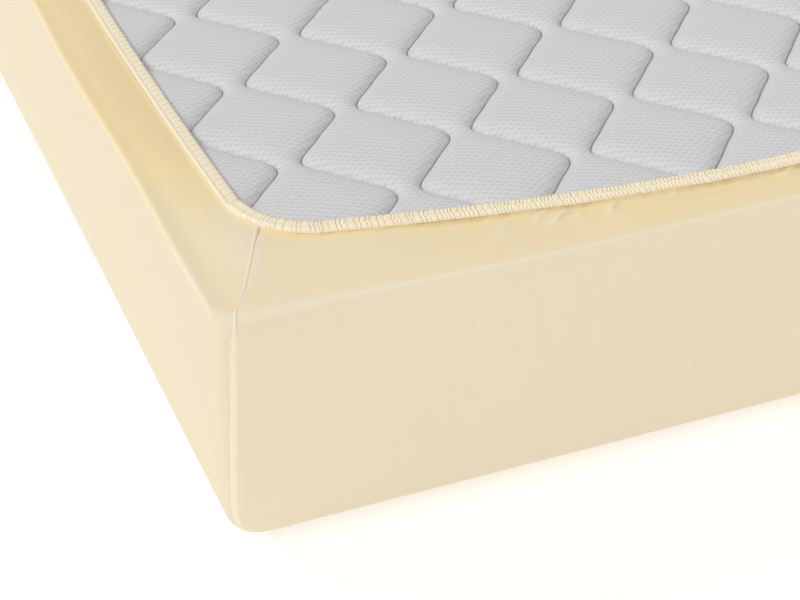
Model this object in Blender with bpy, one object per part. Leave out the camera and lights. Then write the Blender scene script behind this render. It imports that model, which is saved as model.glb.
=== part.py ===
"""A fitted sheet pulled over a single mattress that lies underside up.

Metres, +Z up. The origin is the middle of the footprint, on the floor. X runs across the
mattress, Y along it. The sheet's main panel lies on the floor, its sides stand round the
mattress, and its border is turned over on to the underside, where an elastic edging is sewn
round the opening.
"""

import math

import bmesh
import bpy
from mathutils import Vector

# Mattress and sheet, over the outside of the cloth.
WIDTH = 0.900
LENGTH = 2.000
HEIGHT = 0.224
CLOTH = 0.0015  # thickness of the sheet
EASE = 0.002  # room between the sheet and the mattress at the sides and the top
FLOOR_EASE = 0.0005  # room between the panel and the mattress that lies on it

# Rounded edges, over the outside of the cloth.
SIDE_CORNER = 0.014  # plan radius of the four upright corners
PANEL_CORNER = 0.016  # plan radius of the flat panel's corners
BORDER_CORNER = 0.018  # plan radius of the border's corners, just inside the fold
PANEL_EDGE = 0.065  # the sleeping side's full, soft edge
TOP_EDGE = 0.006  # the sharper fold where the border turns over

# The cloth's tension draws the fold in from the side below it, unevenly along its length.
FOLD_DRAW = 0.0022
FOLD_WAVER = 0.0014
WAVER_LENGTH = 0.37  # length of one slow swell of the fold
MATTRESS_DRAW = 0.0040  # the mattress's own top edge stays clear of the wavering fold

# The opening. Its hem runs parallel to the mattress's edge at mid-side, and the elastic
# pulls it further in towards the corners.
HEM_CORNER = 0.060
PULL_REACH = 0.508  # length along a side over which the pull fades out
SIDES = (
    # name, hem inset at mid-side, extra inset at the side's first corner, at its last
    ("front", 0.057, 0.074, 0.068),
    ("right", 0.0585, 0.0165, 0.0140),
    ("back", 0.059, 0.079, 0.070),
    ("left", 0.0585, 0.0180, 0.0155),
)

# The elastic edging, a flat roll sewn on top of the border's raw edge.
BAND_WIDTH = 0.013
BAND_HEIGHT = 0.0046
BAND_GAP = 0.0003
BAND_OVERHANG = 0.002  # how far the edging reaches past the cloth's raw edge

# Facets.
CORNER_STEPS = 7
END_STEPS = 12  # along the two short ends
FLANK_STEPS = 16  # along the two long sides
EDGE_STEPS = 6  # up the panel's rounded edge
WALL_STEPS = 3
FOLD_STEPS = 3
BORDER_STEPS = 3

CORNERS = (
    Vector((-WIDTH / 2, -LENGTH / 2)),
    Vector((WIDTH / 2, -LENGTH / 2)),
    Vector((WIDTH / 2, LENGTH / 2)),
    Vector((-WIDTH / 2, LENGTH / 2)),
)
DIRECTIONS = (Vector((1, 0)), Vector((0, 1)), Vector((-1, 0)), Vector((0, -1)))
SIDE_LENGTHS = (WIDTH, LENGTH, WIDTH, LENGTH)
SIDE_STEPS = (END_STEPS, FLANK_STEPS, END_STEPS, FLANK_STEPS)


def inward(side):
    """Unit vector from a side towards the middle."""
    direction = DIRECTIONS[side]
    return Vector((-direction.y, direction.x))


def hem_inset(side, along, shift):
    """Distance of the hem from a side's line at a place along it; shift moves it inwards."""
    _, middle, first, last = SIDES[side]
    from_first = max(0.0, 1 - along / PULL_REACH)
    from_last = max(0.0, 1 - (SIDE_LENGTHS[side] - along) / PULL_REACH)
    return middle + shift + first * from_first**2 + last * from_last**2


def constant_inset(side, along, inset):
    """Distance from a side's line for a plain rounded rectangle."""
    return inset


def waver_inset(side, along, inset):
    """Distance from a side's line that swells and narrows slowly, but not at the corners."""
    from_corner = min(along, SIDE_LENGTHS[side] - along)
    fade = min(1.0, max(0.0, from_corner / (WAVER_LENGTH / 2)))
    return inset + FOLD_WAVER * fade * math.sin(2 * math.pi * along / WAVER_LENGTH + side)


def side_point(side, along, inset_of, value):
    """Plan point of an outline at a place along one of its sides."""
    return CORNERS[side] + DIRECTIONS[side] * along + inward(side) * inset_of(side, along, value)


def side_heading(side, along, inset_of, value):
    """Unit vector along an outline at a place on one of its sides."""
    half = 0.001
    ahead = side_point(side, along + half, inset_of, value)
    behind = side_point(side, along - half, inset_of, value)
    return (ahead - behind).normalized()


def corner_arc(side, inset_of, value, radius):
    """Points of the arc that joins the side before to this one."""
    before = (side - 1) % 4
    inset_here, inset_before = 0.0, 0.0
    for _ in range(8):  # settles on the point where the two sides' lines cross
        inset_before = inset_of(before, SIDE_LENGTHS[before] - inset_here, value)
        inset_here = inset_of(side, inset_before, value)
    crossing = CORNERS[side] + DIRECTIONS[side] * inset_before + inward(side) * inset_here
    heading_in = side_heading(before, SIDE_LENGTHS[before] - inset_here, inset_of, value)
    heading_out = side_heading(side, inset_before, inset_of, value)
    turn = math.acos(heading_in.dot(heading_out))
    start = crossing - heading_in * radius * math.tan(turn / 2)
    left = Vector((-heading_in.y, heading_in.x))
    centre = start + left * radius
    points = []
    for step in range(CORNER_STEPS + 1):
        angle = turn * step / CORNER_STEPS
        points.append(centre + (heading_in * math.sin(angle) - left * math.cos(angle)) * radius)
    return points


def outline(inset_of, value, radius):
    """Closed plan outline, anticlockwise from the front left corner's arc."""
    arcs = [corner_arc(side, inset_of, value, radius) for side in range(4)]
    points = []
    for side in range(4):
        points += arcs[side]
        first = (arcs[side][-1] - CORNERS[side]).dot(DIRECTIONS[side])
        last = (arcs[(side + 1) % 4][0] - CORNERS[side]).dot(DIRECTIONS[side])
        for step in range(1, SIDE_STEPS[side]):
            along = first + (last - first) * step / SIDE_STEPS[side]
            points.append(side_point(side, along, inset_of, value))
    return points


def ring(plan, height):
    """A plan outline lifted to a height."""
    return [Vector((point.x, point.y, height)) for point in plan]


def edge_rings(inset, bottom):
    """Rings up the panel's rounded edge, from its flat to the upright side."""
    rounding = PANEL_EDGE - inset
    rings = []
    for step in range(EDGE_STEPS + 1):
        angle = math.pi / 2 * step / EDGE_STEPS
        reach = inset + rounding * (1 - math.sin(angle))
        height = bottom + rounding * (1 - math.cos(angle))
        corner = PANEL_CORNER + (SIDE_CORNER - PANEL_CORNER) * step / EDGE_STEPS
        rings.append(ring(outline(constant_inset, reach, corner - inset), height))
    return rings


def fold_rings(inset_of, inset, top, radius):
    """Rings over the fold at the top of the sides, ending on the flat."""
    rings = []
    for step in range(FOLD_STEPS + 1):
        angle = math.pi / 2 * step / FOLD_STEPS
        reach = inset + radius * (1 - math.cos(angle))
        height = top - radius * (1 - math.sin(angle))
        corner = SIDE_CORNER + (BORDER_CORNER - SIDE_CORNER) * step / FOLD_STEPS
        rings.append(ring(outline(inset_of, reach, corner), height))
    return rings


def rings_between(low, high, steps):
    """Evenly spaced rings between two rings, without either of them."""
    shares = [step / steps for step in range(1, steps)]
    return [[a.lerp(b, share) for a, b in zip(low, high)] for share in shares]


def add_quads(bm, rings, closed):
    """Quads between successive rings; closed joins the last ring to the first."""
    loops = [[bm.verts.new(point) for point in points] for points in rings]
    pairs = list(zip(loops, loops[1:]))
    if closed:
        pairs.append((loops[-1], loops[0]))
    for low, high in pairs:
        for index in range(len(low)):
            after = (index + 1) % len(low)
            bm.faces.new((low[index], low[after], high[after], high[index]))
    return loops


def make_object(name, bm, material):
    """Object of a bmesh, shaded smooth except at its real edges."""
    mesh = bpy.data.meshes.new(name)
    bm.to_mesh(mesh)
    bm.free()
    mesh.shade_smooth()
    mesh.set_sharp_from_angle(angle=math.radians(40))
    mesh.materials.append(material)
    made = bpy.data.objects.new(name, mesh)
    bpy.context.scene.collection.objects.link(made)
    return made


def make_material(name, colour, roughness):
    """Principled material of one cloth."""
    material = bpy.data.materials.new(name)
    material.use_nodes = True
    shader = material.node_tree.nodes["Principled BSDF"]
    shader.inputs["Base Color"].default_value = (*colour, 1)
    shader.inputs["Roughness"].default_value = roughness
    shader.inputs["Metallic"].default_value = 0.0
    return material


def build_mattress(material):
    """The plain mattress, one closed body."""
    inset = CLOTH + EASE
    edge = edge_rings(inset, CLOTH + FLOOR_EASE)
    fold = fold_rings(constant_inset, inset + MATTRESS_DRAW, HEIGHT - inset, TOP_EDGE)
    rings = edge + rings_between(edge[-1], fold[0], WALL_STEPS) + fold
    bm = bmesh.new()
    loops = add_quads(bm, rings, closed=False)
    bm.faces.new(reversed(loops[0]))
    bm.faces.new(loops[-1])
    return make_object("mattress", bm, material)


def build_sheet(material):
    """The sheet: panel, rounded edge, sides and turned-over border, with its opening."""
    edge = edge_rings(0.0, 0.0)
    wall_top = fold_rings(waver_inset, FOLD_DRAW, HEIGHT, TOP_EDGE)
    hem = ring(outline(hem_inset, -BAND_OVERHANG, HEM_CORNER + BAND_OVERHANG), HEIGHT)
    rings = edge + rings_between(edge[-1], wall_top[0], WALL_STEPS) + wall_top
    rings += rings_between(wall_top[-1], hem, BORDER_STEPS) + [hem]
    bm = bmesh.new()
    loops = add_quads(bm, rings, closed=False)
    bm.faces.new(reversed(loops[0]))
    sheet = make_object("fitted_sheet", bm, material)
    thicken = sheet.modifiers.new("thickness", "SOLIDIFY")
    thicken.thickness = CLOTH
    thicken.offset = -1
    thicken.use_even_offset = True
    return sheet


def build_edging(material):
    """The elastic edging, a closed band of flat, rounded section."""
    section = (
        # share of the width from the opening outwards, share of the height
        (0.00, 0.00),
        (0.04, 0.55),
        (0.30, 1.00),
        (0.70, 1.00),
        (0.96, 0.55),
        (1.00, 0.00),
    )
    bottom = HEIGHT + BAND_GAP
    rings = []
    for across, up in section:
        out = BAND_WIDTH * across
        plan = outline(hem_inset, -out, HEM_CORNER + out)
        rings.append(ring(plan, bottom + BAND_HEIGHT * up))
    bm = bmesh.new()
    add_quads(bm, list(reversed(rings)), closed=True)
    return make_object("elastic_edging", bm, material)


def main():
    for leftover in list(bpy.data.objects):
        bpy.data.objects.remove(leftover)
    jersey = make_material("sheet_jersey", (0.84, 0.73, 0.50), 0.85)
    edging = make_material("elastic_edging", (0.85, 0.73, 0.49), 0.80)
    cover = make_material("mattress_cover", (0.66, 0.66, 0.66), 0.90)
    build_mattress(cover)
    build_sheet(jersey)
    build_edging(edging)


main()
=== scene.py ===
"""Looks of a fitted sheet pulled over a single mattress that lies underside up.

Metres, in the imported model's frame: +Z up, X across the mattress, Y along it, the floor at 0.
Every length below is of the real thing. The pieces are the sheet's cloth, its four corner seams,
the elastic edging, the edging's overlock thread and the quilted mattress.
"""

import math

import bpy
import numpy as np
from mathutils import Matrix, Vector


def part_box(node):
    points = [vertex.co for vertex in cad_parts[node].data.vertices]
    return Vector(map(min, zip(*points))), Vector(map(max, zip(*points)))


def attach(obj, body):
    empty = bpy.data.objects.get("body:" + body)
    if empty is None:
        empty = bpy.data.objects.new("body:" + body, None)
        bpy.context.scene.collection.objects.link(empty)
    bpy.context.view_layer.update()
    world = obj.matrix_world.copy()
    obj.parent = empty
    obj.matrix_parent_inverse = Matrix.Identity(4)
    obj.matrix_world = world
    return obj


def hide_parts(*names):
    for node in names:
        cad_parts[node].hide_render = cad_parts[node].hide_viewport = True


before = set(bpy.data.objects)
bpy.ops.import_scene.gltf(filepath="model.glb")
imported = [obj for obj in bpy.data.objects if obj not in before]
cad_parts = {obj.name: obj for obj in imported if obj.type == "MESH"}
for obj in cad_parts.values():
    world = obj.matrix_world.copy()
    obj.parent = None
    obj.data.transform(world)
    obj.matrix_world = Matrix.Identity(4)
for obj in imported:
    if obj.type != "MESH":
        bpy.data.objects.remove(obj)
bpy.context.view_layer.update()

# ---- Sizes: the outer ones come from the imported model, the rest follow the real sheet ----
SHEET_LOW, SHEET_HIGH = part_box("fitted_sheet")
MATTRESS_LOW, MATTRESS_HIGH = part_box("mattress")
EDGING_LOW, EDGING_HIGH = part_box("elastic_edging")

WIDTH = SHEET_HIGH.x - SHEET_LOW.x
LENGTH = SHEET_HIGH.y - SHEET_LOW.y
HEIGHT = SHEET_HIGH.z
FLOOR = SHEET_LOW.z

CLOTH = 0.0010  # jersey, seen at its raw edge only
SIDE_CORNER = 0.014  # plan radii: of the upright corners,
PANEL_CORNER = 0.016  # of the flat panel
BORDER_CORNER = 0.018  # and of the border, just inside the fold
PANEL_EDGE = 0.065  # the sleeping side's full, soft edge

# The fold at the top of the sides: its rounding, and how far the tension draws it in.
TOP_EDGE = 0.0055
SOFT_FOLD = 0.0100  # how much rounder it is where it meets a corner on a short end
SOFT_FOLD_REACH = 0.115
FOLD_DRAW = 0.0022
FLANK_EDGE = 0.0042  # on the long sides it is tighter and drawn in less
FLANK_DRAW = 0.0008
FOLD_WAVER = 0.0014
WAVER_LENGTH = 0.37

# The hem runs parallel to a side in the middle and is pulled further in towards the corners.
HEM_CORNER = 0.060
PULL_REACH = 0.508  # length along a side over which the pull fades out
HEM_SIDES = (
    # inset at mid-side, extra inset at the side's first corner, at its last
    (0.0570, 0.0740, 0.0680),  # front
    (0.0585, 0.0165, 0.0140),  # right
    (0.0590, 0.0790, 0.0700),  # back
    (0.0585, 0.0180, 0.0155),  # left
)
BAND_WIDTH = 0.013
BAND_OVERHANG = 0.002

# Quilting on the mattress's underside: waves along Y, neighbours half a wave apart.
QUILT_PITCH = 0.0726
QUILT_FIRST = 0.0867  # first line, from the mattress's left side
QUILT_SWING = 0.024
QUILT_POINT = 0.08  # how much tighter its turns are than a plain wave's
QUILT_WAVE = 0.138
QUILT_PHASE = 0.205  # a right-hand turn of the even lines, from the mattress's front

FRONT, RIGHT, BACK, LEFT = range(4)
SIDE_LENGTHS = (WIDTH, LENGTH, WIDTH, LENGTH)
CORNERS = np.array(
    [
        (SHEET_LOW.x, SHEET_LOW.y),
        (SHEET_HIGH.x, SHEET_LOW.y),
        (SHEET_HIGH.x, SHEET_HIGH.y),
        (SHEET_LOW.x, SHEET_HIGH.y),
    ]
)
DIRECTIONS = np.array([(1.0, 0.0), (0.0, 1.0), (-1.0, 0.0), (0.0, -1.0)])
INWARD = np.roll(DIRECTIONS, -1, axis=0)


# ---- Plan outlines ----
def hem_inset(side, along, shift):
    """Distance of the hem from a side's line; shift moves it inwards."""
    middle, first, last = HEM_SIDES[side]
    from_first = np.maximum(0.0, 1 - along / PULL_REACH)
    from_last = np.maximum(0.0, 1 - (SIDE_LENGTHS[side] - along) / PULL_REACH)
    return middle + shift + first * from_first**2 + last * from_last**2


def fold_rounding(side, along):
    """Radius of the fold at the top of the sides."""
    if side in (LEFT, RIGHT):
        return np.full_like(along, FLANK_EDGE)
    from_corner = np.minimum(along, SIDE_LENGTHS[side] - along)
    return TOP_EDGE + SOFT_FOLD * np.exp(-((from_corner / SOFT_FOLD_REACH) ** 2))


def fold_inset(side, along, angle):
    """Distance of the fold's surface from a side's line, this far round the fold."""
    draw = FLANK_DRAW if side in (LEFT, RIGHT) else FOLD_DRAW
    reach = draw + fold_rounding(side, along) * (1 - math.cos(angle))
    return waver_inset(side, along, reach)


def plain_inset(side, along, inset):
    """Distance from a side's line for a rounded rectangle."""
    return np.full_like(along, inset)


def waver_inset(side, along, inset):
    """As plain_inset, but it swells and narrows slowly away from the corners."""
    from_corner = np.minimum(along, SIDE_LENGTHS[side] - along)
    fade = np.clip(from_corner / (WAVER_LENGTH / 2), 0.0, 1.0)
    return inset + FOLD_WAVER * fade * np.sin(2 * math.pi * along / WAVER_LENGTH + side)


def side_points(side, along, inset_of, value):
    """Plan points of an outline at places along one of its sides."""
    along = np.atleast_1d(np.asarray(along, float))
    inset = np.atleast_1d(inset_of(side, along, value))
    return CORNERS[side] + along[:, None] * DIRECTIONS[side] + inset[:, None] * INWARD[side]


def heading(side, along, inset_of, value):
    """Unit vector along an outline at a place on one of its sides."""
    half = 0.001
    ends = side_points(side, [along - half, along + half], inset_of, value)
    step = ends[1] - ends[0]
    return step / np.linalg.norm(step)


def corner_arc(side, inset_of, value, radius, steps):
    """Points of the arc between the side before and this one, both ends included."""
    before = (side - 1) % 4
    here, there = 0.0, 0.0
    for _ in range(8):  # settles on the point where the two sides' lines cross
        there = float(inset_of(before, SIDE_LENGTHS[before] - here, value))
        here = float(inset_of(side, there, value))
    crossing = CORNERS[side] + DIRECTIONS[side] * there + INWARD[side] * here
    heading_in = heading(before, SIDE_LENGTHS[before] - here, inset_of, value)
    heading_out = heading(side, there, inset_of, value)
    turn = math.acos(float(heading_in @ heading_out))
    start = crossing - heading_in * radius * math.tan(turn / 2)
    left = np.array((-heading_in[1], heading_in[0]))
    angle = np.linspace(0, turn, steps + 1)[:, None]
    return start + left * radius + (heading_in * np.sin(angle) - left * np.cos(angle)) * radius


def outline(inset_of, value, radius, steps):
    """Closed anticlockwise outline from the front left corner's arc. steps is the count of
    columns on a corner, on a short end and on a long side."""
    corner_steps, end_steps, flank_steps = steps
    arcs = [corner_arc(side, inset_of, value, radius, corner_steps) for side in range(4)]
    points = []
    for side in range(4):
        count = end_steps if side in (FRONT, BACK) else flank_steps
        first = (arcs[side][-1] - CORNERS[side]) @ DIRECTIONS[side]
        last = (arcs[(side + 1) % 4][0] - CORNERS[side]) @ DIRECTIONS[side]
        along = np.linspace(first, last, count + 1)[1:-1]
        points += [arcs[side], side_points(side, along, inset_of, value)]
    return np.concatenate(points)


def column_sides(steps):
    """For each column of an outline: its side, or -1 on a corner arc, and its share along."""
    corner_steps, end_steps, flank_steps = steps
    sides, shares = [], []
    for side in range(4):
        count = end_steps if side in (FRONT, BACK) else flank_steps
        sides += [-1] * (corner_steps + 1) + [side] * (count - 1)
        shares += list(np.linspace(0, 1, corner_steps + 1)) + list(np.linspace(0, 1, count + 1)[1:-1])
    return np.array(sides), np.array(shares)


def unit(vectors):
    """Rows of vectors, each brought to length 1."""
    return vectors / np.linalg.norm(vectors, axis=1, keepdims=True)


def outward(plan):
    """Unit plan normals of a closed anticlockwise outline, pointing out."""
    step = np.roll(plan, -1, axis=0) - np.roll(plan, 1, axis=0)
    return unit(np.stack([step[:, 1], -step[:, 0]], axis=1))


def run_length(points):
    """Distance along a closed line at each of its points, and its whole length."""
    gaps = np.linalg.norm(np.roll(points, -1, axis=0) - points, axis=1)
    return np.concatenate([[0.0], np.cumsum(gaps)[:-1]]), gaps.sum()


def strip_places(centre, rows, width):
    """Places (along, across) of a strip of this many rows that follows an open centre line."""
    along = np.concatenate([[0], np.cumsum(np.linalg.norm(np.diff(centre, axis=0), axis=1))])
    return np.array([[(place, width * row) for place in along] for row in range(rows)])


def lifted(plan, height):
    """A plan outline at a height, which may differ from column to column."""
    return np.column_stack([plan, np.broadcast_to(height, len(plan))])


def blended(low, high, share):
    """The value this share of the way from low to high."""
    return low + (high - low) * share


def smooth(low, high, value):
    """0 below low, 1 above high, and an easy curve between."""
    share = np.clip((value - low) / (high - low), 0.0, 1.0)
    return share * share * (3 - 2 * share)


def uneven(along, length, waves, seed):
    """A closed, slowly varying line about 0, as a sum of whole waves round the length."""
    random = np.random.default_rng(seed)
    total = np.zeros_like(along)
    for wave in waves:
        total += random.uniform(0.5, 1.0) * np.sin(
            2 * math.pi * (wave * along / length + random.random())
        )
    return total / len(waves)


# ---- Meshes ----
SPLIT = 4  # fine columns to each coarse one
# Triangles that join them, as corners: two on the coarse ring, then five on the fine one.
FAN = ((0, 3, 2), (0, 4, 3), (0, 1, 4), (1, 5, 4), (1, 6, 5))


class Net:
    """Points and faces of one piece, with a place in metres at each corner of each face. On
    rings a place is the run along the ring, then the distance across the rings."""

    def __init__(self):
        self.points = []
        self.count = 0
        self.faces = []
        self.places = []
        self.marks = []

    def ring(self, points, mark=0.0):
        """Adds a ring of points and returns their numbers."""
        first = self.count
        self.points.append(np.asarray(points, float))
        self.count += len(points)
        self.marks.append(np.broadcast_to(np.asarray(mark, float), len(points)))
        return np.arange(first, self.count)

    def band(self, low, high, across_low, across_high, run, around):
        """Quads between two rings of one run, each at its own place across."""
        self.faces += np.column_stack([low, np.roll(low, -1), np.roll(high, -1), high]).tolist()
        after = np.append(run[1:], around)
        runs = np.stack([run, after, after, run], axis=1)
        across = np.broadcast_to((across_low, across_low, across_high, across_high), runs.shape)
        self.places.append(np.stack([runs, across], axis=-1).reshape(-1, 2))

    def bands(self, numbers, across, run, around):
        """Bands between successive rings of one run."""
        for low, high, low_across, high_across in zip(numbers, numbers[1:], across, across[1:]):
            self.band(low, high, low_across, high_across, run, around)

    def widen(self, low, high, low_place, high_place, around, turned=False):
        """Triangles from a ring to one of SPLIT times its count. Places: (run, across). turned
        makes them face the other way."""
        run_low, across_low = low_place
        run_high, across_high = high_place
        count, fine = len(low), len(high)
        after_low = np.append(run_low[1:], around)
        run_high = np.append(run_high, around)
        places = []
        first_face = len(self.faces)
        for index in range(count):
            above = range(SPLIT * index, SPLIT * (index + 1) + 1)
            points = [low[index], low[(index + 1) % count], *(high[step % fine] for step in above)]
            spots = [(run_low[index], across_low), (after_low[index], across_low)]
            spots += [(run_high[step], across_high) for step in above]
            for corners in FAN:
                self.faces.append([points[corner] for corner in corners])
                places += [spots[corner] for corner in corners]
        places = np.array(places)
        if turned:
            self.faces[first_face:] = [face[::-1] for face in self.faces[first_face:]]
            places = places.reshape(-1, 3, 2)[:, ::-1].reshape(-1, 2)
        self.places.append(places)

    def cap(self, ring):
        """One flat face over a ring."""
        self.faces.append(ring.tolist())
        self.places.append(np.concatenate(self.points)[ring][:, :2])

    def grid(self, numbers, places):
        """Quads over a rectangular array of point numbers, with a place at each point."""
        a, b = numbers[:-1, :-1], numbers[:-1, 1:]
        c, d = numbers[1:, 1:], numbers[1:, :-1]
        self.faces += np.stack([a, b, c, d], axis=-1).reshape(-1, 4).tolist()
        corners = [places[:-1, :-1], places[:-1, 1:], places[1:, 1:], places[1:, :-1]]
        self.places.append(np.stack(corners, axis=2).reshape(-1, 2))

    def piece(self, name, material, mark_name=None):
        """The object, shaded smooth, with its places as UVs and its marks as an attribute."""
        mesh = bpy.data.meshes.new(name)
        mesh.from_pydata(np.concatenate(self.points).tolist(), [], self.faces)
        uv = mesh.uv_layers.new(name="place")
        uv.data.foreach_set("uv", np.concatenate(self.places).astype(np.float32).ravel())
        if mark_name:
            attribute = mesh.attributes.new(mark_name, "FLOAT", "POINT")
            attribute.data.foreach_set("value", np.concatenate(self.marks).astype(np.float32))
        mesh.shade_smooth()
        mesh.materials.append(material)
        made = bpy.data.objects.new(name, mesh)
        bpy.context.scene.collection.objects.link(made)
        return made


# ---- Materials ----
class Nodes:
    """Short calls for building one material's node tree."""

    def __init__(self, name):
        self.material = bpy.data.materials.new(name)
        self.material.use_nodes = True
        self.tree = self.material.node_tree
        self.shader = self.tree.nodes["Principled BSDF"]

    def add(self, kind, **settings):
        """A new node with these settings."""
        node = self.tree.nodes.new(kind)
        for setting, value in settings.items():
            setattr(node, setting, value)
        return node

    def put(self, socket, value):
        """Links an output to a socket, or sets the socket to a plain value."""
        if isinstance(value, bpy.types.NodeSocket):
            self.tree.links.new(value, socket)
        else:
            socket.default_value = value

    def math(self, operation, first, second=0.0):
        """Output of a math node."""
        node = self.add("ShaderNodeMath", operation=operation)
        for socket, value in zip(node.inputs, (first, second)):
            self.put(socket, value)
        return node.outputs[0]

    def times(self, first, second):
        return self.math("MULTIPLY", first, second)

    def plus(self, first, second):
        return self.math("ADD", first, second)

    def mix(self, factor, first, second):
        """Colour between two colours."""
        node = self.add("ShaderNodeMix", data_type="RGBA")
        self.put(node.inputs[0], factor)
        self.put(node.inputs[6], first)
        self.put(node.inputs[7], second)
        return node.outputs[2]

    def spread(self, value, low, high, to_low=0.0, to_high=1.0):
        """The value's way from low to high, as one from to_low to to_high, cut off at the ends."""
        node = self.add("ShaderNodeMapRange")
        for socket, number in zip(node.inputs, (value, low, high, to_low, to_high)):
            self.put(socket, number)
        return node.outputs[0]

    def place(self):
        """The piece's UV place, in metres, as (run, across)."""
        node = self.add("ShaderNodeTexCoord")
        parts = self.add("ShaderNodeSeparateXYZ")
        self.put(parts.inputs[0], node.outputs["UV"])
        return parts.outputs[0], parts.outputs[1]

    def world(self):
        """The place in the model's frame, in metres."""
        return self.add("ShaderNodeTexCoord").outputs["Object"]

    def noise(self, vector, size, detail=2.0, roughness=0.5):
        """Noise of about this feature size, in metres, from 0 to 1."""
        node = self.add("ShaderNodeTexNoise")
        self.put(node.inputs["Vector"], vector)
        node.inputs["Scale"].default_value = 1 / size
        node.inputs["Detail"].default_value = detail
        node.inputs["Roughness"].default_value = roughness
        return node.outputs[0]

    def waves(self, place, pitch):
        """Sine of a place, with one whole wave to each pitch."""
        return self.math("SINE", self.times(place, 2 * math.pi / pitch))

    def vector(self, x, y):
        """A vector from two values."""
        node = self.add("ShaderNodeCombineXYZ")
        for socket, value in zip(node.inputs, (x, y)):
            self.put(socket, value)
        return node.outputs[0]

    def mark(self, name):
        """The piece's own mark of this name."""
        return self.add("ShaderNodeAttribute", attribute_name=name).outputs["Fac"]

    def bump(self, height, depth, before=None):
        """Bump whose height runs from 0 to 1 over this depth in metres."""
        node = self.add("ShaderNodeBump")
        node.inputs["Strength"].default_value = 1.0
        node.inputs["Distance"].default_value = depth
        self.put(node.inputs["Height"], height)
        if before is not None:
            self.put(node.inputs["Normal"], before)
        return node.outputs[0]

    def finish(self, colour, roughness, normal, sheen=0.0):
        """The material, with its shader's sockets filled."""
        self.put(self.shader.inputs["Base Color"], colour)
        self.put(self.shader.inputs["Roughness"], roughness)
        self.put(self.shader.inputs["Normal"], normal)
        self.shader.inputs["Sheen Weight"].default_value = sheen
        self.shader.inputs["Sheen Roughness"].default_value = 0.5
        self.shader.inputs["Specular IOR Level"].default_value = 0.2
        return self.material


# Colours, and lengths of the cloth's own grain in metres.
JERSEY = (0.795, 0.692, 0.502, 1)
# deep: painted shade on the up-facing border, and deeper patches of tone
JERSEY_DEEP_AND_SHADE = (0.878, 0.704, 0.390, 1)
# pale: painted highlight over the fold and on the seams, and pale streaks
JERSEY_PALE_AND_HIGHLIGHT = (0.860, 0.765, 0.580, 1)
# shade: painted shadow beside the gathered band and on the near long side's border
JERSEY_SHADE = (0.760, 0.600, 0.335, 1)
EDGING = (0.940, 0.850, 0.650, 1)
# the edging's valleys: painted shade
EDGING_VALLEY_SHADE = (0.820, 0.640, 0.370, 1)
THREAD = (0.930, 0.840, 0.640, 1)
COVER = (0.695, 0.695, 0.695, 1)
# the cover's dimples: painted shade in the knit's hollows, also its deeper patches
COVER_DEEP_AND_DIMPLE_SHADE = (0.575, 0.575, 0.577, 1)
# the quilting lines: dark stitches and painted groove shade
COVER_STITCH_AND_GROOVE_SHADE = (0.340, 0.340, 0.345, 1)
WALE_PITCH = 0.0012
COURSE_PITCH = 0.0010
RIBBING_PITCH = 0.0009
PUCKERS_PER_METRE = 310
# The cover's dimples lie where two sets of slanting rows cross: rows per metre along X and
# along Y, and the set's weight.
DIMPLE_ROWS = ((88, 166, 0.56), (115, -168, 0.44))


def jersey_material(name, plain):
    """Smooth single jersey: faint wales, slow changes of tone, and painted light and shade. Its mark
    takes it from plain at 0 through pale, a painted highlight over the fold, and deep, at 1, a
    painted shade on the up-facing border, to shade, a painted shadow."""
    make = Nodes(name)
    run, across = make.place()
    streak = make.noise(make.vector(run, make.times(across, 0.05)), 0.004, 3)
    cloud = make.noise(make.world(), 0.09, 2)
    wale = make.waves(run, WALE_PITCH)
    course = make.waves(across, COURSE_PITCH)
    # a mark of painted light and shade, set by which way the cloth faces and what lies beside it
    turned = make.mark("painted_light_and_shade")
    # pale: a painted highlight where the face turns over the fold
    colour = make.mix(make.spread(turned, 0.0, 0.3), plain, JERSEY_PALE_AND_HIGHLIGHT)
    # deep: painted shade on the up-facing border
    colour = make.mix(make.spread(turned, 0.3, 1.0), colour, JERSEY_DEEP_AND_SHADE)
    # shade: painted shadow beside the band and on the near long side's border
    colour = make.mix(make.spread(turned, 1.0, 1.5), colour, JERSEY_SHADE)
    pale = make.times(make.spread(streak, 0.35, 0.75), 0.08)
    colour = make.mix(pale, colour, JERSEY_PALE_AND_HIGHLIGHT)
    deep = make.times(make.spread(cloud, 0.40, 0.70), 0.08)
    colour = make.mix(deep, colour, JERSEY_DEEP_AND_SHADE)
    loops = make.spread(make.times(wale, course), -1, 1)
    normal = make.bump(loops, 0.00003)
    normal = make.bump(streak, 0.00006, normal)
    normal = make.bump(cloud, 0.0010, normal)
    roughness = make.spread(streak, 0.3, 0.7, 0.80, 0.90)
    return make.finish(colour, roughness, normal, sheen=0.12)


def edging_material():
    """Gathered elastic edging: pale crests, painted shade in the valleys, fine overlocked ribbing."""
    make = Nodes("edging_cloth")
    _, across = make.place()
    crest_light = make.mark("crest_light")
    grain = make.noise(make.world(), 0.0012, 3)
    colour = make.mix(crest_light, EDGING_VALLEY_SHADE, EDGING)
    colour = make.mix(make.times(grain, 0.25), colour, JERSEY_PALE_AND_HIGHLIGHT)
    ribbing = make.waves(across, RIBBING_PITCH)
    normal = make.bump(make.spread(ribbing, -1, 1), 0.00008)
    normal = make.bump(grain, 0.0002, normal)
    return make.finish(colour, 0.85, normal, sheen=0.10)


def thread_material():
    """Soft spun sewing thread."""
    make = Nodes("overlock_thread_yarn")
    grain = make.noise(make.world(), 0.0006, 2)
    colour = make.mix(make.times(grain, 0.3), THREAD, JERSEY_DEEP_AND_SHADE)
    return make.finish(colour, 0.75, make.bump(grain, 0.0001), sheen=0.10)


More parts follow.
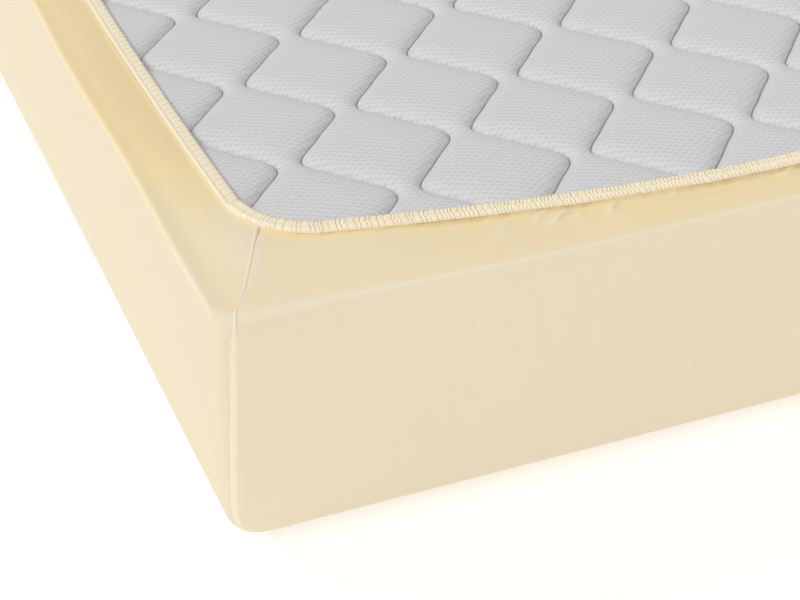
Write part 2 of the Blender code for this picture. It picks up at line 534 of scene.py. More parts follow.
def cover_material():
    """Pale grey knit with staggered dimples darkened by painted shade, dark stitch lines partly of
    painted groove shade, and fine puckers by them.
    """
    make = Nodes("mattress_cover_knit")
    parts = make.add("ShaderNodeSeparateXYZ")
    make.put(parts.inputs[0], make.world())
    waver = make.noise(make.world(), 0.012, 1)
    rows = []
    for per_x, per_y, weight in DIMPLE_ROWS:
        phase = make.times(parts.outputs[0], per_x)
        phase = make.plus(phase, make.times(parts.outputs[1], per_y))
        phase = make.plus(phase, make.times(waver, 0.75))
        wave = make.math("COSINE", make.times(phase, 2 * math.pi))
        rows.append(make.times(wave, weight))
    both = make.plus(*rows)
    dimple = make.spread(both, -0.9, 0.4)
    # dimples darker: painted shade in the knit's hollows
    colour = make.mix(make.spread(dimple, 0, 1, 0.20, 1.0), COVER_DEEP_AND_DIMPLE_SHADE, COVER)
    cloud = make.noise(make.world(), 0.05, 2)
    colour = make.mix(make.times(cloud, 0.15), colour, COVER_DEEP_AND_DIMPLE_SHADE)
    near = make.mark("near_stitches")
    # darker by the quilting lines: the stitches, and painted shade in the groove
    colour = make.mix(make.spread(near, 0.72, 1.0), colour, COVER_STITCH_AND_GROOVE_SHADE)
    grain = make.noise(make.world(), 0.0012, 2)
    normal = make.bump(dimple, 0.00023)
    turns = make.plus(make.times(parts.outputs[1], PUCKERS_PER_METRE), waver)
    pucker = make.waves(turns, 1)
    pucker = make.times(pucker, make.spread(near, 0.05, 0.6))
    normal = make.bump(make.spread(pucker, -1, 1), 0.00022, normal)
    normal = make.bump(grain, 0.00030, normal)
    return make.finish(colour, 0.88, normal, sheen=0.08)


def floor_material():
    """Matt white studio floor, lit a little from below."""
    make = Nodes("studio_floor")
    grain = make.noise(make.world(), 0.02, 2)
    make.shader.inputs["Emission Color"].default_value = (1, 1, 1, 1)
    make.shader.inputs["Emission Strength"].default_value = 0.43
    return make.finish((0.70, 0.70, 0.70, 1), 0.9, make.bump(grain, 0.0001))


# ---- The sheet's cloth ----
FINE = (48, 560, 760)  # columns near the hem: corner, short end, long side
COARSE = tuple(count // SPLIT for count in FINE)
EDGE_ROWS, WALL_ROWS, FOLD_ROWS = 9, 12, 6
PANEL_SHARES = (0.33, 0.66)  # rings on the panel's flat, from its middle
BORDER_SHARES = (0.05, 0.11, 0.18, 0.26, 0.35, 0.45, 0.56, 0.67, 0.78, 0.89)
HEM_SHARES = (0.0, 0.16, 0.32, 0.47, 0.60, 0.71, 0.80, 0.87, 0.93, 0.97, 1.0)
FINE_REACH = 0.40  # share of the way from the edging to FINE_LIMIT where the columns split
FINE_LIMIT = 0.020
SINK_REACH = 0.0050  # distances from the edging over which the cloth dips and is tucked
TUCK_REACH = 0.0040
BELOW = np.array((0.0, 0.0, CLOTH))

# Creases, each set on its own: soft ridges (above 0) or troughs on the cloth, from one place to
# another, measured from the front left corner: (x, y, z) start, end, half width, height.
CREASES = (
    # the border just inside the left fold sinks, and rises again towards the seam
    ((0.018, 0.020, 0.224), (0.014, 0.300, 0.224), 0.010, -0.0014),
    ((0.010, 0.300, 0.224), (0.010, 0.900, 0.224), 0.008, -0.0009),
    ((0.040, 0.060, 0.224), (0.056, 0.120, 0.224), 0.018, 0.0012),
    # puckers that the elastic draws in the front border
    ((0.2598, 0.0486, 0.224), (0.2730, 0.0568, 0.224), 0.0026, 0.0018),
    ((0.2688, 0.0393, 0.224), (0.2887, 0.0524, 0.224), 0.0026, 0.0027),
    ((0.3152, 0.0379, 0.224), (0.3275, 0.0485, 0.224), 0.0028, 0.0023),
    ((0.2252, 0.0380, 0.224), (0.2391, 0.0531, 0.224), 0.0034, 0.0010),
    ((0.2918, 0.0415, 0.224), (0.2996, 0.0490, 0.224), 0.0024, 0.0010),
    ((0.3700, 0.0400, 0.224), (0.3790, 0.0480, 0.224), 0.0028, 0.0010),
    ((0.4620, 0.0350, 0.224), (0.4760, 0.0450, 0.224), 0.0028, 0.0014),
    ((0.6230, 0.0400, 0.224), (0.6090, 0.0520, 0.224), 0.0028, 0.0014),
    ((0.7150, 0.0620, 0.224), (0.7010, 0.0760, 0.224), 0.0034, 0.0012),
    # slack below the fold, near the corner
    ((0.030, 0.000, 0.190), (0.230, 0.000, 0.206), 0.010, 0.0007),
    ((0.000, 0.030, 0.195), (0.000, 0.260, 0.208), 0.010, 0.0006),
)


def crease_height(points):
    """Height of all the creases together at an array of points."""
    corner = np.array((*CORNERS[0], FLOOR))
    total = np.zeros(len(points))
    for start, end, width, height in CREASES:
        start, end = corner + np.array(start), corner + np.array(end)
        line = end - start
        share = np.clip((points - start) @ line / (line @ line), 0, 1)
        gap = np.linalg.norm(points - start - share[:, None] * line, axis=1)
        taper = np.sin(math.pi * (0.15 + 0.70 * share))
        total += height * taper * np.exp(-((gap / width) ** 2))
    return total


def border_painted_shade(ring):
    """Painted shade on the up-facing border: deepest along the near long side, where it runs on
    into painted shadow, deeper towards the middle of each short end, least by the near corner
    and on crease ridges, whose paler colour is a painted highlight."""
    from_left, from_front = (ring[:, :2] - CORNERS[0]).T
    mid_width = smooth(0.22, 0.40, from_left) * smooth(0.22, 0.42, WIDTH - from_left)
    left_border_shade = smooth(0.11, 0.06, from_left) * smooth(0.10, 0.28, from_front)
    ridge_highlight = np.clip(crease_height(ring) / 0.0020, 0.0, 1.0)
    deep = 0.64 + 0.16 * smooth(0.08, 0.24, from_left) + 0.10 * mid_width + 0.55 * left_border_shade
    return deep - 0.50 * ridge_highlight


def fold_painted_shade_share(ring, turn):
    """Share of the border's painted shade over the fold, set by how far the face has turned up: it
    starts lower down on the near long side.
    """
    from_left, from_front = (ring[:, :2] - CORNERS[0]).T
    near_side = smooth(0.05, 0.02, from_left) * smooth(0.03, 0.12, from_front)
    early = 0.85 * smooth(1.08, 1.50, turn)
    late = 0.85 * max(0.0, turn - 1) ** 1.6
    return blended(late, early, near_side)


def border_lift(plan):
    """Slow rise and fall of the border between its fold and its hem."""
    x, y = plan[:, 0], plan[:, 1]
    low = 0.0006 * np.sin(2 * math.pi * (x / 0.23 + y / 0.41))
    return low + 0.0004 * np.sin(2 * math.pi * (x / 0.11 - y / 0.19) + 1.0)


def edge_ring(angle, steps):
    """Ring this far round the panel's rounded edge; 0 is at the floor."""
    reach = PANEL_EDGE * (1 - math.sin(angle))
    height = FLOOR + PANEL_EDGE * (1 - math.cos(angle))
    radius = PANEL_CORNER + (SIDE_CORNER - PANEL_CORNER) * angle / (math.pi / 2)
    return lifted(outline(plain_inset, reach, radius, steps), height)


def fold_ring(angle, steps):
    """Ring over the fold at the top of the sides; the full angle is on the flat."""
    sides, shares = column_sides(steps)
    rounding = np.zeros(len(sides))
    for side in range(4):
        on = sides == side
        rounding[on] = fold_rounding(side, shares[on] * SIDE_LENGTHS[side])
    for side, first in enumerate(np.flatnonzero((sides == -1) & (shares == 0))):
        before = fold_rounding((side - 1) % 4, 0.0)
        arc = slice(first, first + steps[0] + 1)
        rounding[arc] = blended(before, fold_rounding(side, 0.0), shares[arc])
    radius = SIDE_CORNER + (BORDER_CORNER - SIDE_CORNER) * angle / (math.pi / 2)
    plan = outline(fold_inset, angle, radius, steps)
    return lifted(plan, HEIGHT - rounding * (1 - math.sin(angle)))


def sheet_rings(steps):
    """Rings of the outer face from the panel's flat to the fold's end, with the share of the
    way each normal has turned from down (0) through out (1) to up (2)."""
    rings, turns = [], []
    for step in range(EDGE_ROWS + 1):
        rings.append(edge_ring(math.pi / 2 * step / EDGE_ROWS, steps))
        turns.append(step / EDGE_ROWS)
    bottom, top = rings[-1], fold_ring(0, steps)
    for step in range(1, WALL_ROWS):
        rings.append(blended(bottom, top, step / WALL_ROWS))
        turns.append(1.0)
    for step in range(FOLD_ROWS + 1):
        rings.append(fold_ring(math.pi / 2 * step / FOLD_ROWS, steps))
        turns.append(1.0 + step / FOLD_ROWS)
    return rings, turns


def ring_normals(ring, turn):
    """Unit normals of a ring whose face has turned this far."""
    angle = (turn - 1) * math.pi / 2
    flat = outward(ring[:, :2]) * math.cos(angle)
    return np.column_stack([flat, np.full(len(ring), math.sin(angle))])


def swell(ring, turn):
    """Belly of the sides between the edges, with slow waves along them."""
    height = ring[:, 2]
    rise = np.sin(math.pi * np.clip((height - FLOOR) / HEIGHT, 0, 1)) ** 2
    run, around = run_length(ring[:, :2])
    waves = uneven(run, around, (7, 11, 16), 3)
    return rise * (0.0010 + 0.0012 * waves) * (1.0 if turn <= 1 else 2 - turn)


def gathered(sides, shares, reach):
    """1 where the elastic gathers the cloth: along the short ends and, rising from 0 over the
    first part of each corner's arc, round the corners."""
    gather = np.where((sides == RIGHT) | (sides == LEFT), 0.0, 1.0)
    corner = 0
    for column in np.flatnonzero((sides == -1) & (shares == 0)):
        arc = slice(column, column + int(np.argmax(shares[column:] == 1)) + 1)
        share = shares[arc] if corner in (0, 2) else 1 - shares[arc]
        gather[arc] = smooth(0.0, reach, share)
        corner += 1
    return gather


def side_rows():
    """The outer face from the panel's flat over the fold: for each row its points, its tone of
    painted light and shade, its distance from the first and the points of the inner face. Also
    the fold's plain end."""
    rows, across, before = [], 0.0, None
    for ring, turn in zip(*sheet_rings(COARSE)):
        normals = ring_normals(ring, turn)
        moved = ring + normals * (swell(ring, turn) + crease_height(ring))[:, None]
        if before is not None:
            across += float(np.mean(np.linalg.norm(ring - before, axis=1)))
        before = ring
        tone = fold_painted_shade_share(ring, turn) * border_painted_shade(ring)
        rows.append((moved, tone, across, moved - normals * CLOTH))
    return rows, before


def border_rows(start, end, across):
    """Rows of the border, as side_rows gives them, and how far across its end lies."""
    rows = []
    wide = float(np.mean(np.linalg.norm(end - start, axis=1)))
    for share in BORDER_SHARES:
        ring = blended(start, end, share)
        ring[:, 2] += border_lift(ring[:, :2]) * share + crease_height(ring)
        tone = border_painted_shade(ring) * (0.85 + 0.15 * share)
        rows.append((ring, tone, across + wide * share, ring - BELOW))
    return rows, across + wide


def hem_rows(start, band_edge, hem, across):
    """Fine rows by the edging, where the elastic tucks the cloth, and the raw edge under it."""
    gather = gathered(*column_sides(FINE), 0.7)
    tucks = uneven(*run_length(hem), (173, 229, 311, 401), 14)
    wide = np.linalg.norm(band_edge - start, axis=1)
    rows = []
    for share in HEM_SHARES:
        plan = blended(start, band_edge, share)
        ring = lifted(plan, HEIGHT)
        gap = (1 - share) * wide
        ring[:, 2] += border_lift(plan) + crease_height(ring)
        sink = gap / SINK_REACH * np.exp(1 - gap / SINK_REACH)
        ring[:, 2] -= (0.0003 + 0.0011 * gather) * sink
        ring[:, 2] += (0.0005 + gather * 0.0010 * tucks) * np.exp(-gap / TUCK_REACH)
        # painted shadow: the tone runs past 1 towards shade in a strip beside the gathered band
        tone = border_painted_shade(ring) + 0.62 * gather * smooth(0.0085, 0.0015, gap)
        rows.append((ring, tone, across + float(wide.mean()) * share, ring[::SPLIT] - BELOW))
    ring = lifted(hem, HEIGHT)
    rows.append((ring, border_painted_shade(ring), rows[-1][2] + BAND_WIDTH, ring[::SPLIT] - BELOW))
    return rows


def build_sheet(material):
    """The cloth as a closed shell: a detailed outer face, and a plain inner one."""
    hem = outline(hem_inset, -BAND_OVERHANG, HEM_CORNER + BAND_OVERHANG, FINE)
    band_edge = outline(hem_inset, -BAND_WIDTH, HEM_CORNER + BAND_WIDTH, FINE)
    limit = outline(plain_inset, FINE_LIMIT, FINE_LIMIT, FINE)
    fine_start = blended(band_edge, limit, FINE_REACH)
    run, around = run_length(hem)
    coarse_run = run[::SPLIT]

    rows, fold_end = side_rows()
    border, across = border_rows(fold_end, lifted(fine_start[::SPLIT], HEIGHT), rows[-1][2])
    rows += border
    fine_rows = hem_rows(fine_start, band_edge, hem, across)

    net = Net()
    middle = np.array((0.0, 0.0, FLOOR))
    numbers = [net.ring(blended(middle, rows[0][0], share)) for share in PANEL_SHARES]
    places = [0.4 * (share - 1) for share in PANEL_SHARES]
    net.cap(numbers[0][::-1])
    numbers += [net.ring(ring, tone) for ring, tone, _, _ in rows]
    places += [place for _, _, place, _ in rows]
    net.bands(numbers, places, coarse_run, around)
    fine_numbers = [net.ring(ring, tone) for ring, tone, _, _ in fine_rows]
    fine_places = [place for _, _, place, _ in fine_rows]
    split_from, split_to = (coarse_run, places[-1]), (run, fine_places[0])
    net.widen(numbers[-1], fine_numbers[0], split_from, split_to, around)
    net.bands(fine_numbers, fine_places, run, around)

    under = [inner for _, _, _, inner in rows + fine_rows]
    inner_numbers = [net.ring(ring) for ring in under]
    core = [net.ring(blended(middle + BELOW, under[0], share)) for share in PANEL_SHARES]
    net.cap(core[0])
    inner_numbers = (core + inner_numbers)[::-1]
    inner_places = [0.02 * index for index in range(len(inner_numbers))][::-1]
    net.bands(inner_numbers, inner_places, coarse_run, around)
    split_from, split_to = (coarse_run, 0.0), (run, CLOTH)
    net.widen(inner_numbers[0], fine_numbers[-1], split_from, split_to, around, turned=True)
    return net.piece("fitted_sheet_cloth", material, "painted_light_and_shade")


# ---- The elastic edging ----
BAND_STEPS = (140, 1700, 1000)  # columns: corner, short end, long side
BAND_BOTTOM = EDGING_LOW.z - 0.0003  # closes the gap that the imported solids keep
BAND_HEIGHT = EDGING_HIGH.z - EDGING_LOW.z
# The band's cross-sections from the opening outwards, in shares of its width and height.
BAND_SECTION = (
    # gathered: across, up; flat: across, up
    (0.00, 0.08, 0.00, 0.05),
    (-0.01, 0.48, 0.01, 0.20),
    (0.04, 0.80, 0.05, 0.30),
    (0.14, 0.97, 0.18, 0.34),
    (0.29, 1.00, 0.34, 0.35),
    (0.42, 0.82, 0.48, 0.35),
    (0.50, 0.72, 0.60, 0.34),
    (0.60, 0.85, 0.67, 0.32),
    (0.74, 0.94, 0.74, 0.41),
    (0.89, 0.74, 0.83, 0.48),
    (0.99, 0.36, 0.93, 0.36),
    (1.00, 0.05, 1.00, 0.05),
)
NARROW_GATHER = (0.0025, 0.0036)  # least and greatest width along the hem
WIDE_GATHER = (0.0046, 0.0064)
THREAD_RADIUS = 0.00033
THREAD_PITCH = 0.0030  # of the overlock's zigzag on the gathers
STITCH_PITCH = 0.0080  # and on the flat stretches
GATHERED_LEVELS = (1.4, 2.6, 4.1, 5.6)  # rows of the sections that a stitch runs over
FLAT_LEVELS = (1.2, 2.6, 4.4, 6.6)


def rib_edges(around):
    """Valleys between the gathers along the hem, and the gathers' heights. Narrow and wide ones
    come in no order, wide ones oftener by the front left corner and the one across from it."""
    random = np.random.default_rng(11)
    edges = [0.0]
    while edges[-1] < around:
        by_corner = abs((edges[-1] / around * 2 + 0.5) % 1 - 0.5) < 0.05
        wide = random.random() < (0.40 if by_corner else 0.22)
        edges.append(edges[-1] + random.uniform(*(WIDE_GATHER if wide else NARROW_GATHER)))
    edges = np.array(edges[:-1] + [around])
    heights = random.uniform(0.72, 1.0, len(edges))
    return edges, heights


def rib_wave(run, around, edges, heights):
    """Height of the gathers at places along the hem: 0 in the valleys, up to 1 on the crests."""
    place = run % around
    after = np.clip(np.searchsorted(edges, place, side="right"), 1, len(edges) - 1)
    width = edges[after] - edges[after - 1]
    share = (place - edges[after - 1]) / width
    shape = 2.2 + 2.4 * smooth(0.0035, 0.0055, width)
    dome = np.sqrt(np.clip(1 - np.abs(2 * share - 1) ** shape, 0, 1))
    fold = 0.10 * smooth(0.0040, 0.0055, width) * np.exp(-(((share - 0.42) / 0.10) ** 2))
    return dome * heights[after] - fold


def edging_surface():
    """Rows of points round the band, its crest marks, which paint shade into the valleys, and how
    gathered each column is.
    """
    sides, shares = column_sides(BAND_STEPS)
    gather = gathered(sides, shares, 0.16)
    full = gathered(sides, shares, 0.75)
    inner = outline(hem_inset, 0.0, HEM_CORNER, BAND_STEPS)
    outer = outline(hem_inset, -BAND_WIDTH, HEM_CORNER + BAND_WIDTH, BAND_STEPS)
    run, around = run_length(inner)
    edges, heights = rib_edges(around)
    wobble = 0.05 * uneven(run, around, (31, 57, 83), 21)
    loose = 0.08 * uneven(run, around, (190, 277, 353), 22)
    rows, crests = [], []
    for wide, high, wide_flat, high_flat in BAND_SECTION:
        lean = 0.0016 * math.sin(2.4 * wide + 0.3) + 0.0009 * smooth(0.56, 0.44, wide)
        ribs = rib_wave(run + lean, around, edges, heights)
        upper = smooth(0.54, 0.42, wide)
        fine = 0.5 + 0.5 * np.sin(2 * math.pi * (run + 0.6 * lean) / THREAD_PITCH)
        ribs = ribs * (1 - 0.10 * upper * fine)
        out = gather * wide + (1 - gather) * wide_flat
        up = gather * high + (1 - gather) * high_flat
        depth = 0.50 * smooth(0.0, 0.40, high)
        up = up * (1 - gather * (0.25 + 0.75 * full) * depth * (1 - ribs))
        share = out + gather * out * (wobble + loose * (ribs - 0.4))
        share = share + gather * full * 0.075 * (ribs - 0.45) * math.sin(math.pi * (wide - 0.5))
        plan = inner + (outer - inner) * share[:, None]
        rows.append(lifted(plan, BAND_BOTTOM + BAND_HEIGHT * np.clip(up, 0.05, 1.0)))
        # the colour mark: 1 on the crests, down to 0 in the valleys as painted shade, lower on the
        # upper lobe, 0.95 on flat stretches
        crests.append(gather * smooth(0.10, 0.70, ribs) * (1 - 0.22 * upper) + (1 - gather) * 0.95)
    return rows, crests, run, around, gather


def build_edging(surface, material):
    """A closed band round the opening, ribbed where the elastic gathers it."""
    rows, crests, run, around, _ = surface
    net = Net()
    numbers = [net.ring(row, crest_light) for row, crest_light in zip(rows, crests)]
    places = [BAND_WIDTH * wide for wide, *_ in BAND_SECTION]
    net.bands((numbers + numbers[:1])[::-1], (places + places[:1])[::-1], run, around)
    return net.piece("elastic_edging_band", material, "crest_light")


def thread_route(run, around, gather):
    """The overlock's zigzag, as places along the hem and row numbers across the band."""
    random = np.random.default_rng(5)
    route, place = [], 0.0
    while place < around - THREAD_PITCH:
        column = int(np.searchsorted(run, place)) % len(run)
        loose = gather[column] > 0.5
        pitch = (THREAD_PITCH if loose else STITCH_PITCH) * random.uniform(0.85, 1.15)
        levels = GATHERED_LEVELS if loose else FLAT_LEVELS
        for step, level in enumerate(levels):
            route.append((place + 0.42 * pitch * step / 3, level))
        for step, level in enumerate(levels[::-1]):
            route.append((place + (0.5 + 0.42 * step / 3) * pitch, level))
        place += pitch
    return np.array(route)


def build_thread(surface, material):
    """The overlock's thread: a strand that lies on the band, round the whole opening."""
    rows, _, run, around, gather = surface
    grid = np.array(rows)
    columns = grid.shape[1]
    route = thread_route(run, around, gather)
    position = np.interp(route[:, 0], np.append(run, around), np.arange(columns + 1))
    low = np.floor(position).astype(int)
    part = (position - low)[:, None]
    row = np.floor(route[:, 1]).astype(int)
    rest = (route[:, 1] - row)[:, None]
    near = blended(grid[row, low % columns], grid[row, (low + 1) % columns], part)
    far = blended(grid[row + 1, low % columns], grid[row + 1, (low + 1) % columns], part)
    centre = blended(near, far, rest)
    outwards = unit(far - near)
    along = grid[row, (low + 2) % columns] - grid[row, low - 2]
    up = unit(np.cross(along, outwards))
    up *= np.sign(up[:, 2:])
    sunk = np.interp(position, np.arange(columns), gather)[:, None]
    centre = centre + up * THREAD_RADIUS * (0.45 - 0.80 * sunk)
    across = unit(np.cross(unit(np.gradient(centre, axis=0)), up))
    net = Net()
    section = ((-1.0, -0.4), (0.0, 1.0), (1.0, -0.4))
    strands = [net.ring(centre + (across * a + up * b) * THREAD_RADIUS) for a, b in section]
    numbers = np.array([*strands, strands[0]])
    net.grid(numbers, strip_places(centre, len(numbers), 0.0005))
    return net.piece("overlock_thread", material)


# ---- The corner seams ----
SEAM_COLUMNS = (50, 4, 4)  # corner, short end, long side
SEAM_START = 0.15  # how far round the panel's edge it begins
SEAM_WIDTH = 0.0040  # across the border
SEAM_SPREAD = 0.0030  # how much wider it lies down the side
SEAM_RISE = 0.0006
SEAM_SHARE = 0.86  # where it meets the fold on a corner's arc, from the long side's end
SEAM_WANDER = 1.8  # how much of the arc it crosses per metre further down
# Across the border, from the corner: inwards from the long side, inwards from the short end.
SEAM_ROUTE = ((0.0325, 0.0410), (0.0490, 0.0760), (0.0632, 0.1070), (0.0672, 0.1150))
# Share of the width, share of the rise; the edges lie sunk in the curved cloth.
SEAM_SECTION = ((-0.5, -1.9), (-0.33, -0.2), (-0.12, 0.9), (0.12, 0.9), (0.33, -0.2), (0.5, -1.9))


def build_seam(corner, material):
    """A fine raised ridge up a corner of the sides and across the border to the hem."""
    corner_columns, end_columns, _ = SEAM_COLUMNS
    centre, normals, widths = [], [], []
    for ring, turn in zip(*sheet_rings(SEAM_COLUMNS)):
        facing = ring_normals(ring, turn)
        moved = ring + facing * (swell(ring, turn) + crease_height(ring))[:, None]
        share = SEAM_SHARE - SEAM_WANDER * (HEIGHT - ring[0, 2])
        share = share if corner in (0, 2) else 1 - share
        column = corner * (corner_columns + end_columns) + round(share * corner_columns)
        if turn > SEAM_START:
            centre.append(moved[column])
            normals.append(facing[column])
            widths.append(SEAM_WIDTH + SEAM_SPREAD * smooth(1.6, 1.0, turn))
    mirror = np.array((1.0 if corner in (0, 3) else -1.0, 1.0 if corner in (0, 1) else -1.0))
    stops = [centre[-1][:2]] + [CORNERS[corner] + mirror * stop for stop in SEAM_ROUTE]
    for start, end in zip(stops, stops[1:]):
        for part in (0.2, 0.4, 0.6, 0.8, 1.0):
            plan = blended(start, end, part)
            point = np.array((*plan, HEIGHT + border_lift(plan[None])[0]))
            point[2] += crease_height(point[None])[0]
            centre.append(point)
            normals.append(np.array((0.0, 0.0, 1.0)))
            widths.append(SEAM_WIDTH)
    centre, normal = np.array(centre), np.array(normals)
    width = np.array(widths)[:, None]
    along = unit(np.gradient(centre, axis=0))
    normal = unit(normal - along * np.sum(normal * along, axis=1)[:, None])
    across = np.cross(along, normal)
    net = Net()
    rows = [
        net.ring(centre + across * width * wide + normal * SEAM_RISE * high)
        for wide, high in SEAM_SECTION
    ]
    numbers = np.array(rows + [rows[0]])
    net.grid(numbers, strip_places(centre, len(numbers), 0.001))
    net.faces.append([int(row[0]) for row in numbers[:-1]][::-1])
    net.faces.append([int(row[-1]) for row in numbers[:-1]])
    net.places.append(np.zeros((2 * len(SEAM_SECTION), 2)))
    return net.piece(f"corner_seam_{corner + 1}", material, "painted_light_and_shade")


# ---- The quilted mattress ----
PUFF_HEIGHT = 0.0088
PUFF_RISE = 0.0010  # of the puffs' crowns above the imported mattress's flat top
PUFF_REACHES = (0.0032, 0.0120)  # of the steep part by a stitching line, and of the crown
GROOVE_DEPTH = 0.0008
GROOVE_REACH = 0.0007
STITCH_REACH = 0.0030  # how far from a line its mark fades
TOP_FLAT = 0.016  # from the sheet's side to where the quilting ends, under the border
END_FADE, SIDE_FADE = 0.03, 0.02  # over which the quilting starts there
COVER_INSET = 0.0035  # of the mattress's side from the sheet's
# Rows from the quilted top over its edge: inset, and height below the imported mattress's top.
SHOULDER = ((0.011, 0.008), (0.006, 0.012), (0.004, 0.03))
SHOULDER_STEP = 0.02  # between its rows on the unwrapped side
# Columns from a quilting line to the middle of the strip beside it, in shares of its width.
STRIP_SHARES = (0.0, 0.010, 0.024, 0.045, 0.075, 0.115, 0.175, 0.26, 0.37, 0.5)
QUILT_ROWS = 330  # along the mattress


def quilt_line(number, along):
    """X of a quilting line, and its slope, at places along the mattress."""
    phase = 2 * math.pi * (along - QUILT_PHASE - (number % 2) * QUILT_WAVE / 2) / QUILT_WAVE
    middle = QUILT_FIRST + QUILT_PITCH * number
    slope = -2 * math.pi / QUILT_WAVE * (np.sin(phase) + 3 * QUILT_POINT * np.sin(3 * phase))
    turn = np.cos(phase) + QUILT_POINT * np.cos(3 * phase)
    return middle + QUILT_SWING * turn, QUILT_SWING * slope


def puffed(gap):
    """Share of the quilting's full height at this distance from a stitching line."""
    steep, crown = PUFF_REACHES
    return 1 - 0.52 * np.exp(-gap / steep) - 0.48 * np.exp(-gap / crown)


def faded(place, length, reach):
    """1 in the middle of the quilted top, fading to 0 over this reach at either end of it."""
    return smooth(TOP_FLAT, TOP_FLAT + reach, place) * smooth(
        TOP_FLAT, TOP_FLAT + reach, length - place
    )


def build_mattress(material):
    """A closed body whose top is puffed between the quilting lines."""
    low, high = MATTRESS_LOW, MATTRESS_HIGH
    along = np.linspace(TOP_FLAT, LENGTH - TOP_FLAT, QUILT_ROWS + 1)
    ends = faded(along, LENGTH, END_FADE)
    last = int((WIDTH - TOP_FLAT - QUILT_SWING - QUILT_FIRST) / QUILT_PITCH)
    lines = [quilt_line(number, along)[0] for number in range(last + 1)]
    edges = [np.full_like(along, TOP_FLAT), *lines, np.full_like(along, WIDTH - TOP_FLAT)]
    shares = list(STRIP_SHARES) + [1 - share for share in STRIP_SHARES[-2::-1]]
    columns = [edges[0]]
    for left, right in zip(edges, edges[1:]):
        columns += [left + (right - left) * share for share in shares[1:]]
    across = np.array(columns)
    gaps = np.full((2, *across.shape), 1.0)
    for number in range(-1, last + 2):
        line, slope = quilt_line(number, along)
        gap = np.abs(across - line) / np.sqrt(1 + slope**2)
        second = np.maximum(gaps[0], gap)
        gaps[0] = np.minimum(gaps[0], gap)
        gaps[1] = np.minimum(gaps[1], second)
    near = np.exp(-gaps[0] / STITCH_REACH)
    puff = puffed(gaps[0]) * puffed(gaps[1])
    groove = np.exp(-((gaps[0] / GROOVE_REACH) ** 2))
    sides = faded(across, WIDTH, SIDE_FADE)
    bottom = high.z + PUFF_RISE - PUFF_HEIGHT
    height = bottom + (PUFF_HEIGHT * puff - GROOVE_DEPTH * groove) * sides * ends
    lengthwise = np.broadcast_to(along + SHEET_LOW.y, across.shape)
    points = np.stack([across + SHEET_LOW.x, lengthwise, height], axis=-1)
    stitched = near * sides * ends
    net = Net()
    numbers = np.array([net.ring(row, mark) for row, mark in zip(points, stitched)])
    net.grid(numbers[::-1], points[::-1, :, :2])

    rim = np.concatenate(
        [numbers[:, 0], numbers[-1, 1:], numbers[-2::-1, -1], numbers[0, -2:0:-1]]
    )
    flat = np.concatenate(net.points)[rim]
    run, around = run_length(flat[:, :2])
    rows = [(inset, high.z - below) for inset, below in SHOULDER] + [(COVER_INSET, PANEL_EDGE)]
    rounding = PANEL_EDGE - COVER_INSET
    for angle in np.radians((75, 60, 45, 30, 15, 0)):
        reach = COVER_INSET + rounding * (1 - math.sin(angle))
        rows.append((reach, low.z + rounding * (1 - math.cos(angle))))
    previous, place = rim, 0.0
    for reach, level in rows:
        ring = net.ring(lifted(fitted_plan(flat[:, :2], reach, PANEL_CORNER), level))
        after = place + SHOULDER_STEP
        net.band(ring, previous, after, place, run, around)
        previous, place = ring, after
    net.cap(previous[::-1])
    return net.piece("mattress_quilted", material, "near_stitches")


def fitted_plan(plan, inset, radius):
    """The plan's columns moved out to a rounded rectangle at this inset."""
    half = np.array((WIDTH / 2 - inset, LENGTH / 2 - inset))
    grown = plan / np.abs(plan).max(axis=0) * half
    core = half - radius
    over = np.maximum(np.abs(grown) - core, 0)
    length = np.linalg.norm(over, axis=1, keepdims=True)
    both = (over > 0).all(axis=1, keepdims=True)
    outwards = over / np.maximum(length, 1e-9) * radius
    rounded = np.sign(grown) * (np.minimum(np.abs(grown), core) + outwards)
    return np.where(both, rounded, grown)


# ---- The stage ----
CAMERA_FROM_CORNER = Vector((-0.3086, -1.1015, 1.0243))
CAMERA_TURN = 21.87  # from +Y towards +X, degrees
CAMERA_TILT = 34.28  # below the horizon, degrees
CAMERA_LENS = 92.0


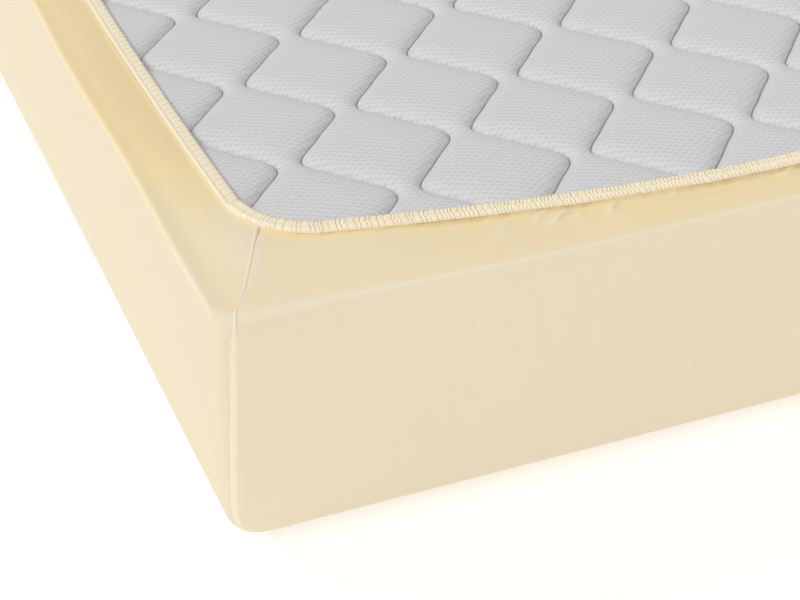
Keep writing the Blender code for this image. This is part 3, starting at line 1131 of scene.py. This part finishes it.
def build_camera():
    """The scene's camera, placed from the near corner of the sheet."""
    data = bpy.data.cameras.new("camera")
    data.lens = CAMERA_LENS
    data.sensor_width = 36.0
    data.clip_start, data.clip_end = 0.05, 50
    camera = bpy.data.objects.new("camera", data)
    bpy.context.scene.collection.objects.link(camera)
    camera.location = Vector((*CORNERS[0], FLOOR)) + CAMERA_FROM_CORNER
    turn, tilt = math.radians(CAMERA_TURN), math.radians(CAMERA_TILT)
    look = Vector(
        (math.sin(turn) * math.cos(tilt), math.cos(turn) * math.cos(tilt), -math.sin(tilt))
    )
    camera.rotation_euler = look.to_track_quat("-Z", "Y").to_euler()
    bpy.context.scene.camera = camera


def build_sun(name, towards, strength, softness):
    """A soft, far light that comes from a direction."""
    data = bpy.data.lights.new(name, "SUN")
    data.energy = strength
    data.angle = math.radians(softness)
    light = bpy.data.objects.new(name, data)
    bpy.context.scene.collection.objects.link(light)
    light.rotation_euler = Vector(towards).to_track_quat("Z", "Y").to_euler()


def build_stage():
    """Plain pale floor, an even white surround, a key from behind the left and a front fill."""
    bpy.ops.mesh.primitive_plane_add(size=40, location=(0, 0, FLOOR - 0.0005))
    floor = bpy.context.object
    floor.name = "studio_floor"
    floor.data.materials.append(floor_material())
    world = bpy.data.worlds.new("studio")
    world.use_nodes = True
    background = world.node_tree.nodes["Background"]
    background.inputs[0].default_value = (1.0, 1.0, 1.0, 1)
    background.inputs[1].default_value = 0.40
    bpy.context.scene.world = world
    build_sun("key", (-0.62, 0.48, 0.62), 1.05, 12)
    build_sun("fill", (-0.30, -0.60, 0.74), 1.42, 50)
    bpy.context.scene.view_settings.view_transform = "Standard"


# ---- Everything together ----
def place_piece(piece, slot_name, *nodes):
    """Puts a piece on the one body and hides the nodes it stands for. Its slot_name is not used."""
    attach(piece, "root")
    if nodes:
        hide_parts(*nodes)
    return piece


build_camera()
build_stage()
jersey = jersey_material("sheet_jersey_cloth", JERSEY)
# the seams are the sheet's jersey, coloured pale throughout as a painted highlight on their ridges
seamed = jersey_material("corner_seam_jersey", JERSEY_PALE_AND_HIGHLIGHT)
sheet = place_piece(build_sheet(jersey), "sheet_jersey", "fitted_sheet")
seams = [place_piece(build_seam(corner, seamed), "sheet_jersey") for corner in range(4)]
band = edging_surface()
edging = place_piece(build_edging(band, edging_material()), "elastic_edging", "elastic_edging")
thread = place_piece(build_thread(band, thread_material()), "elastic_edging")
mattress = place_piece(build_mattress(cover_material()), "mattress_cover", "mattress")
